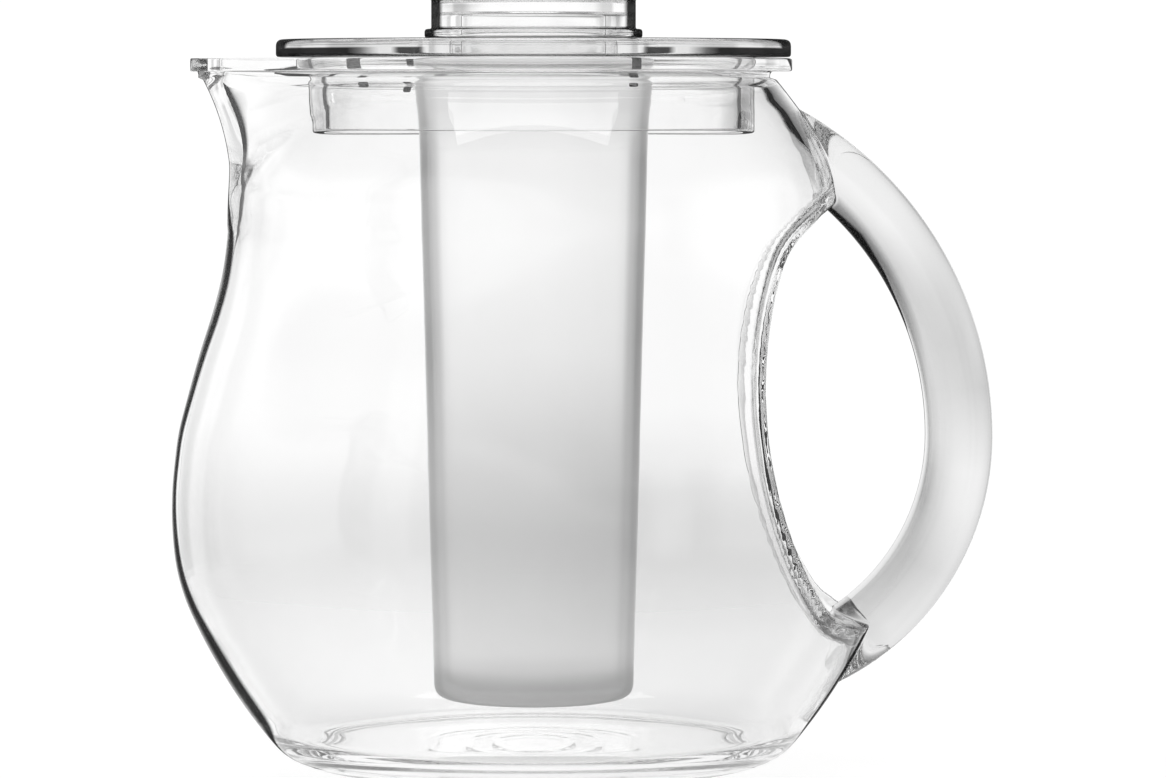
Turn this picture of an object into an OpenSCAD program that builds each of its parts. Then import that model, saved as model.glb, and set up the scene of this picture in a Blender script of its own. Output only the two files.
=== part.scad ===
// Clear pitcher with a pouring lip, a scooped grip side and a lid that carries an ice core.
// Millimetres. The origin is on the body's axis, in the plane the foot stands on.
// +Z is up, the pouring lip points to -X and the handle to +X.

/* [Body] */
// Height of the jug, from the foot to the top of the rim
jug_h = 168.3; // [150:0.1:190]
// Largest outside radius of the belly
belly_r = 86.4; // [82:0.1:94]
// Outside radius of the ring that the jug stands on
foot_r = 54.5; // [46:0.1:60]
// Radius of the mouth's bore
mouth_r = 53; // [50:0.1:56]
// Thickness of the wall at the neck
neck_wall_t = 3; // [2.4:0.1:3.4]
// Thickness of the wall round the belly
belly_wall_t = 1.6; // [1.2:0.1:2.6]
// Thickness of the wall just above the floor
foot_wall_t = 2.4; // [1.6:0.1:3]
// Thickness of the floor, from the plane of the foot
floor_t = 4; // [3.4:0.1:6]
// Depth of the recess under the floor
foot_recess = 0.9; // [0.4:0.1:1.2]
// Width of the foot ring
foot_ring_w = 5; // [3:0.1:9]

/* [Rim and pouring lip] */
// Outside radius of the rim flange
flange_r = 61.7; // [60:0.1:64]
// Thickness of the rim flange
flange_t = 3.1; // [2.4:0.1:4.5]
// Reach of the lip's tip from the axis
lip_reach = 81.9; // [79:0.1:86]
// Radius of the arc that the lip flares along, seen from the side
lip_flare_r = 58; // [50:0.5:75]
// Radius of the lip's nose, seen from above
lip_nose_r = 11; // [8:0.5:14]
// Half of the angle between the lip's two cheeks
lip_half_angle = 38; // [34:0.5:42]
// Thickness of the lip's wall
lip_wall_t = 2.6; // [2:0.1:3.4]

/* [Grip scoop] */
// Radius of the scoop behind the handle, seen from the side
scoop_r = 84; // [76:0.5:96]
// Distance from the axis to the deepest line of the scoop
scoop_x = 51.5; // [46:0.1:58]
// Height of the scoop's deepest line
scoop_z = 89.2; // [84:0.1:94]
// Height at which the scoop's upper ledge meets the belly
scoop_top = 134.5; // [128:0.1:137]
// Height at which the scoop's lower ledge meets the belly
scoop_bottom = 33.5; // [31:0.1:42]
// Radius of the scoop's slight hollow, seen from above
scoop_cross_r = 800; // [600:10:1200]
// Thickness of the scoop's wall
scoop_wall_t = 2.2; // [1.6:0.1:3]

/* [Handle] */
// Distance from the axis to the middle of the handle at its widest
handle_reach = 101.7; // [99:0.1:108]
// Height of the handle's widest point
handle_z = 78.1; // [74:0.1:82]
// Thickness of the handle, seen from the side
handle_t = 15.7; // [12:0.1:18]
// Width of the handle, across the grip
handle_w = 26; // [20:0.5:32]
// Radius of the handle's middle line above its widest point
handle_top_r = 81.3; // [79:0.1:90]
// Radius of the handle's middle line below its widest point
handle_low_r = 57.6; // [55:0.1:62]

/* [Lid] */
// Outside radius of the lid's plate
lid_r = 61.4; // [58:0.1:64]
// Thickness of the lid's plate
lid_t = 4.2; // [3:0.1:6]
// Depth of the lid's skirt below the plate
skirt_depth = 17.8; // [12:0.1:24]
// Thickness of the lid's skirt
skirt_t = 3; // [2:0.1:4]
// Radius of the bore that the cap plugs
filler_r = 20; // [16:0.1:21.5]
// Length of the spigot that the ice core screws onto
spigot_len = 8.8; // [6:0.1:9.6]
// Height of the small pegs under the lid's plate
peg_h = 6.7; // [4:0.1:9]
// Diameter of the small pegs
peg_d = 2; // [1.6:0.1:3]
// Radius of the circle that the pegs stand on
peg_circle_r = 44.8; // [40:0.1:47]
// Directions of the pegs from the handle's side, seen from above
peg_angles = [136, 210.6, 300.6]; // [0:0.1:360]

/* [Ice core] */
// Outside radius of the core at its collar
collar_r = 28.7; // [28:0.1:32]
// Height of the collar's straight part
collar_h = 4; // [3:0.1:7]
// Height of the taper below the collar
collar_taper_h = 10; // [6:0.1:16]
// Outside radius of the core just below the collar
core_top_r = 27.4; // [27:0.1:28]
// Outside radius of the core near its bottom
core_bottom_r = 23.9; // [20:0.1:26]
// Gap between the core's bottom and the jug's floor
core_floor_gap = 10.5; // [6:0.1:16]
// Thickness of the core's wall
core_wall_t = 2; // [1.4:0.1:2.2]
// Thickness of the core's bottom
core_bottom_t = 3.6; // [2.4:0.1:6]
// Radius of the round at the core's bottom edge
core_round_r = 3; // [2:0.1:3.6]

/* [Cap] */
// Outside radius of the cap's wall
cap_r = 24.4; // [23.4:0.1:27]
// Outside radius of the cap's base flange
cap_flange_r = 26; // [25.4:0.1:29]
// Thickness of the cap's base flange
cap_flange_t = 2.2; // [1.6:0.1:3]
// Height of the cap above the lid
cap_h = 11.2; // [9.6:0.1:16]
// Outside radius of the cap's top, which stands proud of its wall
cap_rim_r = 25.2; // [24.8:0.1:28]
// Thickness of the cap's proud top
cap_rim_t = 2; // [1.4:0.1:3]
// Thickness of the cap's wall
cap_wall_t = 2.4; // [1.8:0.1:3]
// Thickness of the cap's top
cap_top_t = 2.2; // [1.6:0.1:3]
// Radius of the dish in the cap's top
dish_r = 17.2; // [14:0.1:18.5]
// Depth of the dish in the cap's top
dish_depth = 2.8; // [1.5:0.1:4]
// Length of the plug below the cap's base flange
plug_len = 11; // [8:0.1:14]

/* [Clearances] */
// Gap between faces that rest on one another
seat_gap = 0.3; // [0.2:0.05:0.5]
// Gap between round faces that slide past one another
slide_gap = 0.3; // [0.2:0.05:0.4]

/* [Hidden] */
$fn = 96;
// Overrun of every cut
over = 1;
quarter_turn = 90;
half_turn = 180;

// Heights and radii that the pieces share
flange_z = jug_h - flange_t;
lid_z = jug_h + seat_gap;
lid_top_z = lid_z + lid_t;
cap_z = lid_top_z + seat_gap;
core_top_z = lid_z - seat_gap;
core_z = floor_t + core_floor_gap;
skirt_r = mouth_r - slide_gap;

// Outside of the body below the belly: height as a share of the jug, then the share of the way
// from the foot's radius to the belly's
lower_shares = [[0, 0], [0.018, 0.19], [0.06, 0.38], [0.103, 0.54], [0.147, 0.68], [0.19, 0.8],
                [0.235, 0.905], [0.282, 0.972], [0.335, 1], [0.385, 1]];
// The same above the belly, from the neck's radius to the belly's
upper_shares = [[0.43, 0.978], [0.474, 0.943], [0.53, 0.861], [0.587, 0.77], [0.64, 0.675],
                [0.692, 0.6], [0.745, 0.557], [0.795, 0.543], [0.838, 0.51], [0.873, 0.432],
                [0.907, 0.318], [0.945, 0.162]];
// Extra thickness of the neck where it runs into the flange
neck_extra_t = 0.4;
neck_r = mouth_r + neck_wall_t + neck_extra_t;
// Height of the chamfer between the floor and the inside wall
floor_round = 2;
// Points of the smooth outline from one named point to the next
steps = 2;
outer_points = concat(
    [for (s = lower_shares) [foot_r + (belly_r - foot_r) * s[1], jug_h * s[0]]],
    [for (s = upper_shares) [neck_r + (belly_r - neck_r) * s[1], jug_h * s[0]]],
    [[neck_r, flange_z]]);
outer_line = smooth(outer_points, steps);
// Thickness of the wall by height: the belly is stretched thinner than the foot and the neck
wall_height_shares = [0.1, 0.3, 0.7, 0.87];
wall_steps = [foot_wall_t, belly_wall_t, belly_wall_t, neck_wall_t];
wall_line = [for (i = [0 : len(wall_steps) - 1]) [jug_h * wall_height_shares[i], wall_steps[i]]];
bore_low_z = flange_z - neck_wall_t / 2;
inner_line = [for (i = [0 : len(outer_line) - 1])
    let (p = outer_line[i], q = p + lookup(p[1], wall_line) * normal(outer_line, i))
    if (q[1] > floor_t + floor_round && q[0] > mouth_r && q[1] < bore_low_z) q];

// The lip flares along an arc that leaves the shoulder upright, just inside its surface
lip_root_share = 0.543;
lip_sink = 0.5;
lip_root_r = neck_r + (belly_r - neck_r) * lip_root_share - lip_sink;
lip_turn = acos(1 - (lip_reach - lip_root_r) / lip_flare_r);
// How far out the ends of the teardrop's sides lie, as a share of the circles' radii
lip_flange_sink_share = 0.998;
lip_root_z = jug_h - lip_flare_r * sin(lip_turn);
// The lip's V ends where its cheeks come nearest to the axis, inside the neck
lip_depth = lip_reach - (lip_nose_r + (lip_reach - lip_nose_r) * sin(lip_half_angle))
    * sin(lip_half_angle);

// The scoop's ledges slope away from its hollow by these angles
top_ledge_angle = 31;
bottom_ledge_angle = -15;
scoop_axis_x = scoop_x + scoop_cross_r;

// The handle's two arcs end inside the body's outline, at these angles from the level line
handle_top_angle = asin((bore_low_z - handle_z) / (handle_top_r + handle_t / 2));
handle_low_angle = 76;

// Thread zone that the core's collar and the lid's spigot share
thread_gap = slide_gap;
spigot_r = core_top_r - core_wall_t - thread_gap;
spigot_z = lid_z - spigot_len;
plug_r = filler_r - slide_gap;

// Share of a plate's thickness that its edge is rounded by
edge_round_share = 0.38;
// Points along a rounded edge
round_steps = 5;

// A smooth line through every point of a list, with n steps from each to the next
function smooth(p, n) = let (last = len(p) - 1) concat(
    [for (i = [0 : last - 1], k = [0 : n - 1])
        spline(p[max(i - 1, 0)], p[i], p[i + 1], p[min(i + 2, last)], k / n)],
    [p[last]]);
function spline(a, b, c, d, t) = let (m = (c - a) / 2, q = (d - b) / 2, u = t * t, v = u * t)
    (2 * v - 3 * u + 1) * b + (v - 2 * u + t) * m + (3 * u - 2 * v) * c + (v - u) * q;
// Unit vector square to a line at its point i, to the left of its direction, towards the axis
function normal(p, i) = let (last = len(p) - 1, t = p[min(i + 1, last)] - p[max(i - 1, 0)])
    [-t[1], t[0]] / norm(t);
// Radius of the body's outside at height z
function body_r(z) = lookup(z, [for (p = outer_line) [p[1], p[0]]]);
// Points of an arc about [x, y]
function arc(x, y, r, from, to, n) =
    [for (i = [0 : n]) let (a = from + (to - from) * i / n) [x + r * cos(a), y + r * sin(a)]];

// A round plate with rounded edges, standing on z = 0
module plate(r, t) {
    e = t * edge_round_share;
    rotate_extrude() polygon(concat([[0, 0]],
        arc(r - e, e, e, -quarter_turn, 0, round_steps),
        arc(r - e, t - e, e, 0, quarter_turn, round_steps),
        [[0, t]]));
}

// The body's outside without its lip
module body_form() {
    rotate_extrude() polygon(concat([[0, 0]], outer_line, [[0, flange_z]]));
}

// The lip: a V with a round nose, bent along the arc of the flare; g draws it in
module lip_form(g = 0) {
    nose = lip_nose_r - g;
    side = quarter_turn - lip_half_angle;
    half_w = nose * cos(lip_half_angle)
        + (lip_depth - 2 * g - nose * (1 - sin(lip_half_angle))) * tan(lip_half_angle);
    translate([-lip_root_r - lip_flare_r, 0, lip_root_z])
    rotate([quarter_turn, 0, 0])
    rotate_extrude(angle = lip_turn + lip_half_angle)
    polygon(concat(
        [[lip_flare_r + lip_depth - g, half_w]],
        arc(lip_flare_r + g + nose, 0, nose, half_turn - side, half_turn + side, 2 * round_steps),
        [[lip_flare_r + lip_depth - g, -half_w]]));
}

// The rim flange's teardrop: straight sides from the round flange to the lip's nose. Their ends
// lie a little inside both circles, so that the lines cross the circles cleanly.
module lip_flange() {
    nose_x = lip_nose_r - lip_reach;
    tangent = acos((flange_r - lip_nose_r) / -nose_x);
    side = lip_flange_sink_share * [-cos(tangent), sin(tangent)];
    half = [flange_r * side, [nose_x, 0] + lip_nose_r * side];
    linear_extrude(flange_t) {
        translate([nose_x, 0]) circle(r = lip_nose_r);
        polygon([half[0], half[1], [half[1][0], -half[1][1]], [half[0][0], -half[0][1]]]);
    }
}

// The scoop behind the handle: a hollow arc between two ledges, with its wall g deeper
module scoop_form(g = 0) {
    reach = belly_r + scoop_wall_t + over;
    sweep = 2 * asin(reach / (scoop_cross_r - belly_r));
    top = scoop_top + g / cos(top_ledge_angle);
    bottom = scoop_bottom - g / cos(bottom_ledge_angle);
    top_r = body_r(scoop_top);
    bottom_r = body_r(scoop_bottom);
    translate([scoop_axis_x, 0, 0])
    rotate([0, 0, half_turn - sweep / 2])
    rotate_extrude(angle = sweep)
    intersection() {
        translate([scoop_cross_r - scoop_r, scoop_z]) circle(r = scoop_r + g);
        polygon([
            [scoop_axis_x, top - top_r * tan(top_ledge_angle)],
            [scoop_axis_x - reach, top + (reach - top_r) * tan(top_ledge_angle)],
            [scoop_axis_x - reach, bottom + (reach - bottom_r) * tan(bottom_ledge_angle)],
            [scoop_axis_x, bottom - bottom_r * tan(bottom_ledge_angle)]]);
    }
}

// The outside of the whole jug
module jug_outside() {
    difference() {
        union() {
            body_form();
            intersection() {
                lip_form();
                translate([-lip_reach - over, -belly_r, 0])
                    cube([lip_reach + over, 2 * belly_r, jug_h]);
            }
            translate([0, 0, flange_z]) plate(flange_r, flange_t);
            translate([0, 0, flange_z]) lip_flange();
        }
        scoop_form();
    }
}

// The room inside, open at the mouth and through the lip
module cavity() {
    difference() {
        union() {
            rotate_extrude() polygon(concat(
                [[0, floor_t], [inner_line[0][0] - floor_round, floor_t]],
                inner_line,
                [[mouth_r, bore_low_z], [mouth_r, jug_h + over], [0, jug_h + over]]));
            lip_form(lip_wall_t);
        }
        scoop_form(scoop_wall_t);
    }
}

module jug_body() {
    color("aliceblue", 0.5)
    difference() {
        jug_outside();
        cavity();
        translate([0, 0, -over]) cylinder(r = foot_r - foot_ring_w, h = foot_recess + over);
    }
}

// One length of the handle: a bar with round sides, swept along an arc of radius r
module bar(r, from, to) {
    edge = handle_t / 2;
    side = handle_w / 2 - edge;
    translate([handle_reach - r, 0, handle_z])
    rotate([quarter_turn, 0, 0])
    rotate_extrude(angle = to - from, start = from)
    union() {
        translate([r, side]) circle(r = edge);
        translate([r, -side]) circle(r = edge);
        translate([r - edge, -side]) square([handle_t, 2 * side]);
    }
}

module handle() {
    color("lightsteelblue", 0.6)
    difference() {
        union() {
            bar(handle_top_r, 0, handle_top_angle);
            bar(handle_low_r, -handle_low_angle, 0);
        }
        difference() {
            body_form();
            scoop_form();
        }
        translate([0, 0, flange_z - flange_t]) cylinder(r = mouth_r, h = 2 * flange_t);
    }
}

module lid() {
    color("azure", 0.6)
    difference() {
        union() {
            translate([0, 0, lid_z]) plate(lid_r, lid_t);
            difference() {
                translate([0, 0, lid_z - skirt_depth]) cylinder(r = skirt_r, h = skirt_depth + lid_t / 2);
                translate([0, 0, lid_z - skirt_depth - over])
                    cylinder(r = skirt_r - skirt_t, h = skirt_depth + over);
            }
            translate([0, 0, spigot_z]) cylinder(r = spigot_r, h = spigot_len + lid_t / 2);
            for (a = peg_angles) rotate([0, 0, a])
                translate([peg_circle_r, 0, lid_z - peg_h]) cylinder(d = peg_d, h = peg_h + lid_t / 2);
        }
        translate([0, 0, spigot_z - over]) cylinder(r = filler_r, h = spigot_len + lid_t + 2 * over);
    }
}

module ice_core() {
    color("gainsboro", 0.8)
    rotate_extrude() polygon(concat(
        [[0, core_z]],
        arc(core_bottom_r - core_round_r, core_z + core_round_r, core_round_r,
            -quarter_turn, 0, round_steps),
        [[core_top_r, core_top_z - collar_h - collar_taper_h],
         [collar_r, core_top_z - collar_h],
         [collar_r, core_top_z],
         [core_top_r - core_wall_t, core_top_z],
         [core_top_r - core_wall_t, core_top_z - collar_h - collar_taper_h]],
        arc(core_bottom_r - core_round_r, core_z + core_bottom_t + core_round_r - core_wall_t,
            core_round_r - core_wall_t, 0, -quarter_turn, round_steps),
        [[0, core_z + core_bottom_t]]));
}

module core_cap() {
    color("white", 0.6)
    difference() {
        union() {
            translate([0, 0, cap_z]) plate(cap_flange_r, cap_flange_t);
            translate([0, 0, cap_z + cap_flange_t / 2])
                cylinder(r = cap_r, h = cap_h - cap_flange_t / 2 - cap_rim_t / 2);
            translate([0, 0, cap_z + cap_h - cap_rim_t]) plate(cap_rim_r, cap_rim_t);
            translate([0, 0, cap_z - plug_len]) cylinder(r = plug_r, h = plug_len + cap_flange_t / 2);
        }
        translate([0, 0, cap_z + cap_h - dish_depth]) cylinder(r = dish_r, h = dish_depth + over);
        translate([0, 0, cap_z - plug_len - over])
            cylinder(r = plug_r - cap_wall_t, h = plug_len + cap_h - dish_depth - cap_top_t + over);
    }
}

jug_body();
handle();
lid();
ice_core();
core_cap();
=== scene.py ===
# %% [markdown]
# # A clear pitcher with an ice core
#
# The photograph shows five mouldings: a blown-looking acrylic jug, a solid acrylic handle that is
# cemented to it, a clear lid, a frosted cup for ice that hangs under the lid, and a hollow cap.
# Everything here is see-through, so the shapes have to be closed shells with true wall
# thickness: glass made of a single sheet would bend no light and would look like a bubble.

# %% Load the frame
import math
import bpy
import numpy as np
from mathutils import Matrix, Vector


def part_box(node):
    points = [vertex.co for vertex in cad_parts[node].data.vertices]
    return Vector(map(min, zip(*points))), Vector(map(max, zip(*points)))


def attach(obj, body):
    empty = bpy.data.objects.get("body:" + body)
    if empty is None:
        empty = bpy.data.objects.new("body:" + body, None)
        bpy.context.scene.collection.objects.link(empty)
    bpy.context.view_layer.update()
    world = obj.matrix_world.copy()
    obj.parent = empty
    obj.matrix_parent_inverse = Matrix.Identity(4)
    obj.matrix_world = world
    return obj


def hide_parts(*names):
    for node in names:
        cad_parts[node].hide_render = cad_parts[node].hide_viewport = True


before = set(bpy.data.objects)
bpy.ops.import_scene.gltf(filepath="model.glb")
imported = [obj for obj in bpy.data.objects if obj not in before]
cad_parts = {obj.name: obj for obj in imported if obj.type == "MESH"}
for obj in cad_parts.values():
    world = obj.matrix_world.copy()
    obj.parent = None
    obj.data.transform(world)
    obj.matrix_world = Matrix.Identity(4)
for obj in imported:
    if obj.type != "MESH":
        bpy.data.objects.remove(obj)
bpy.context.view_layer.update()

# %% [markdown]
# ## Sizes
#
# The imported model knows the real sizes, so the driving dimensions are read from the boxes of its
# nodes. What a box can't tell, such as a wall or a radius inside, is repeated here in metres.

# %% Sizes from the frame
MM = 0.001
jug_high = np.array(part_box("jug_body")[1])
lid_low, lid_high = (np.array(c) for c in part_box("lid"))
core_low, core_high = (np.array(c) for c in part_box("ice_core"))
cap_low, cap_high = (np.array(c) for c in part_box("core_cap"))
handle_low, handle_high = (np.array(c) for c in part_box("handle"))

RIM_Z = jug_high[2]
BELLY_R = 86.4 * MM
LIP_REACH = 81.9 * MM
FOOT_R = 54.5 * MM
MOUTH_R = 53 * MM
NECK_R = 56.4 * MM
FLANGE_R = 61.7 * MM
FLANGE_T = 3.1 * MM
FLANGE_Z = RIM_Z - FLANGE_T
FLOOR_T = 4 * MM
FOOT_RECESS = 0.9 * MM
FOOT_RING_W = 5 * MM
print(f"rim at {RIM_Z / MM:.1f} mm, belly radius {BELLY_R / MM:.1f} mm, lip at {LIP_REACH / MM:.1f} mm")

# %% [markdown]
# ## Helpers for surfaces
#
# Each new piece is a grid of points: rows follow a profile, columns go round. Two helpers make
# profiles: one draws a smooth line through a few given points, the same way as the part's
# source does, so that both models share one outline, and one rounds the corners of an outline.
# The others turn a profile round the axis and close the grid into a mesh. Blender's Screw modifier
# could turn a profile too, but not one with a lip and a scoop, so all pieces are made as arrays.

# %% Smooth lines and rounded outlines
def smooth_line(points, steps):
    """Cardinal spline through the points: on each span the cubic whose end slopes are half the
    step between the neighbours of its two ends."""
    p = np.asarray(points, float)
    padded = np.vstack([p[:1], p, p[-1:]])
    a, b, c, d = padded[:-3], padded[1:-2], padded[2:-1], padded[3:]
    t = (np.arange(steps) / steps)[None, :, None]
    m, q = (c - a)[:, None] / 2, (d - b)[:, None] / 2
    b, c = b[:, None], c[:, None]
    curve = (2*t**3 - 3*t**2 + 1)*b + (t**3 - 2*t**2 + t)*m + (3*t**2 - 2*t**3)*c + (t**3 - t**2)*q
    return np.vstack([curve.reshape(-1, p.shape[1]), p[-1:]])


def rounded(corners, radii, steps=6):
    """Outline whose corners are rounded: a corner is swapped for a parabola that leaves each of
    its sides one radius away from it, (1-t)^2 A + 2t(1-t) corner + t^2 B. A corner whose radius
    is 0 stays one point."""
    c = np.asarray(corners, float)
    r = np.asarray(radii, float)[:, None]
    back = np.roll(c, 1, axis=0) - c
    ahead = np.roll(c, -1, axis=0) - c
    start = c + back / np.maximum(np.linalg.norm(back, axis=1, keepdims=True), 1e-9) * r
    end = c + ahead / np.maximum(np.linalg.norm(ahead, axis=1, keepdims=True), 1e-9) * r
    t = np.linspace(0, 1, steps + 1)[None, :, None]
    arcs = (1 - t)**2 * start[:, None] + 2*t*(1 - t) * c[:, None] + t**2 * end[:, None]
    spare = (r == 0) & (t[:, :, 0] > 0)
    return arcs.reshape(-1, 2)[~spare.reshape(-1)]


square = [(0, 0), (1, 0), (1, 1), (0, 1)]
print("a square with three round corners has", len(rounded(square, [0, 0.1, 0.1, 0.1])), "points")


# %% A mesh from arrays
def make_mesh(name, points, quads, triangles, body, material, attributes=None):
    """Puts numpy arrays into a new mesh object, shades it smooth and ties it to its body.
    Attributes are named arrays with one number per point, which its material may read."""
    counts = np.concatenate([np.full(len(quads), 4), np.full(len(triangles), 3)])
    loops = np.concatenate([quads.reshape(-1), triangles.reshape(-1)]).astype(np.int32)
    mesh = bpy.data.meshes.new(name)
    mesh.vertices.add(len(points))
    mesh.vertices.foreach_set("co", points.astype(np.float32).reshape(-1))
    mesh.loops.add(len(loops))
    mesh.loops.foreach_set("vertex_index", loops)
    mesh.polygons.add(len(counts))
    starts = np.concatenate([[0], np.cumsum(counts)[:-1]]).astype(np.int32)
    mesh.polygons.foreach_set("loop_start", starts)
    mesh.polygons.foreach_set("use_smooth", np.ones(len(counts), bool))
    mesh.update(calc_edges=True)
    mesh.validate()
    for title, values in (attributes or {}).items():
        layer = mesh.attributes.new(title, "FLOAT", "POINT")
        layer.data.foreach_set("value", np.asarray(values, np.float32).reshape(-1))
    mesh.materials.append(material)
    piece = bpy.data.objects.new(name, mesh)
    bpy.context.scene.collection.objects.link(piece)
    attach(piece, body)
    print(f"{name}: {len(points)} points, {len(counts)} faces, rides on {body}")
    return piece


# %% Closed pieces from grids
def grid_faces(rows, columns, close_rows):
    """Quads between neighbouring rows; columns always close, rows close for a ring."""
    last = rows if close_rows else rows - 1
    i = np.arange(last)[:, None]
    j = np.arange(columns)[None, :]
    i2, j2 = (i + 1) % rows, (j + 1) % columns
    quads = np.stack([i*columns + j, i*columns + j2, i2*columns + j2, i2*columns + j], axis=-1)
    return quads.reshape(-1, 4)


def closed_piece(name, grid, body, material, ring=False, extra=None, attributes=None):
    """Mesh from a grid of rows x columns points. Unless it is a ring, the first and the last row
    are each closed by a fan about their middle. An attribute is an array of rows x columns. Extra
    holds small closed parts of the same piece: their points, quads, triangles and numbers."""
    rows, columns = grid.shape[:2]
    points = grid.reshape(-1, 3)
    quads = grid_faces(rows, columns, ring)
    triangles = np.zeros((0, 3), int)
    if not ring:
        middle = np.array([grid[0].mean(axis=0), grid[-1].mean(axis=0)])
        j = np.arange(columns)
        j2 = (j + 1) % columns
        first = np.stack([np.full(columns, len(points)), j2, j], axis=-1)
        end = (rows - 1) * columns
        last = np.stack([np.full(columns, len(points) + 1), end + j, end + j2], axis=-1)
        points = np.vstack([points, middle])
        triangles = np.vstack([first, last])
    spare = len(points) - rows*columns
    attributes = {title: np.concatenate([values.reshape(-1), np.full(spare, values.flat[0])])
                  for title, values in (attributes or {}).items()}
    if extra is not None:
        more_points, more_quads, more_triangles, more_skin = extra
        for title, value in more_skin.items():
            more = np.full(len(more_points), value)
            attributes[title] = np.concatenate([attributes[title], more])
        quads = np.vstack([quads, more_quads + len(points)])
        triangles = np.vstack([triangles, more_triangles + len(points)])
        points = np.vstack([points, more_points])
    return make_mesh(name, points, quads, triangles, body, material, attributes)


def turned(profile, columns=192):
    """Grid of a body of revolution: every profile point [r, z] becomes r(cos a, sin a), z."""
    a = np.linspace(0, 2*math.pi, columns, endpoint=False)[None, :]
    r, z = profile[:, :1], profile[:, 1:]
    return np.stack([r*np.cos(a), r*np.sin(a), z + 0*a], axis=-1)


print("a grid of 3 rows and 4 columns has", len(grid_faces(3, 4, False)), "quads")

# %% [markdown]
# ## Clear plastic
#
# Acrylic bends light almost as glass does and has next to no colour. A photographer lights such
# a thing from behind and leaves the sides dark, so every edge that turns away from the lens
# draws itself as a dark line. Black cards in the sky alone could draw such lines, but soft ones,
# and other ones from every side. So the lines are painted shade: glass is mixed with plain black,
# by the angle between skin and eye, which works all round. How wide a line is depends on the wall
# behind the skin, so each clear piece carries four numbers on every point: shade, a painted shade
# that greys the skin's tone; edge, the cosine below which the skin counts as turned away and is
# painted black; line, how far below the angle of total reflection the painted black reaches for
# rays that meet the skin from inside; and a fourth for the painted reflection of the dark
# surround, which draws dark bands on a rim.

# %% Helpers for nodes
def new_material(name):
    """An empty node material with its output node."""
    material = bpy.data.materials.new(name)
    material.use_nodes = True
    nodes = material.node_tree.nodes
    nodes.clear()
    return material, nodes, material.node_tree.links, nodes.new("ShaderNodeOutputMaterial")


def ramp(nodes, stops):
    """A colour ramp with the given (place, tone) stops."""
    node = nodes.new("ShaderNodeValToRGB")
    while len(node.color_ramp.elements) < len(stops):
        node.color_ramp.elements.new(0.5)
    for element, (place, tone) in zip(node.color_ramp.elements, stops):
        element.position = place
        element.color = grey(tone)
    return node


def grey(value):
    """A neutral colour with four channels."""
    return (value, value, value, 1)


def math_node(nodes, links, operation, a, b=0.0):
    """A math node; each input is a socket or a number."""
    node = nodes.new("ShaderNodeMath")
    node.operation = operation
    for socket, value in zip(node.inputs, (a, b)):
        if isinstance(value, (int, float)):
            socket.default_value = value
        else:
            links.new(value, socket)
    return node.outputs[0]


print("shade 0.5 as a colour:", grey(0.5))

# %% The clear material
# A ray inside the plastic is thrown back where it meets the skin at more than 42 degrees. Just
# below that angle it leaves flat along the skin, towards the dark sides of the studio. The
# facing value there is one minus the cosine of 42 degrees.
ACRYLIC_IOR = 1.49
CRITICAL_FACING = 1 - math.sqrt(1 - 1/ACRYLIC_IOR**2)


def skin(grid, shade=0.985, edge=0.1, line=0.004, painted_reflection=0.0):
    """The four numbers of a clear piece, each spread over the points of its grid."""
    values = {"shade": shade, "edge": edge, "line": line, "painted_reflection": painted_reflection}
    return {title: np.broadcast_to(value, grid.shape[:2]) for title, value in values.items()}


# Share of black from the silhouette, 0, to the end of the edge, 1. On the body the line is soft
# outside and black a little further in. The third is for rays from inside, from the angle of
# total reflection, 0, to the end of the line, 1.
SOFT_EDGE = [(0.0, 0.3), (0.3, 0.45), (0.5, 0.85), (0.62, 0.96), (0.86, 0.96), (0.999, 0)]
HARD_EDGE = [(0.0, 0.7), (0.15, 0.96), (0.85, 0.96), (0.999, 0)]
INNER_EDGE = [(0.0, 0), (0.01, 0.96), (0.6, 0.96), (0.999, 0)]


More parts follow.
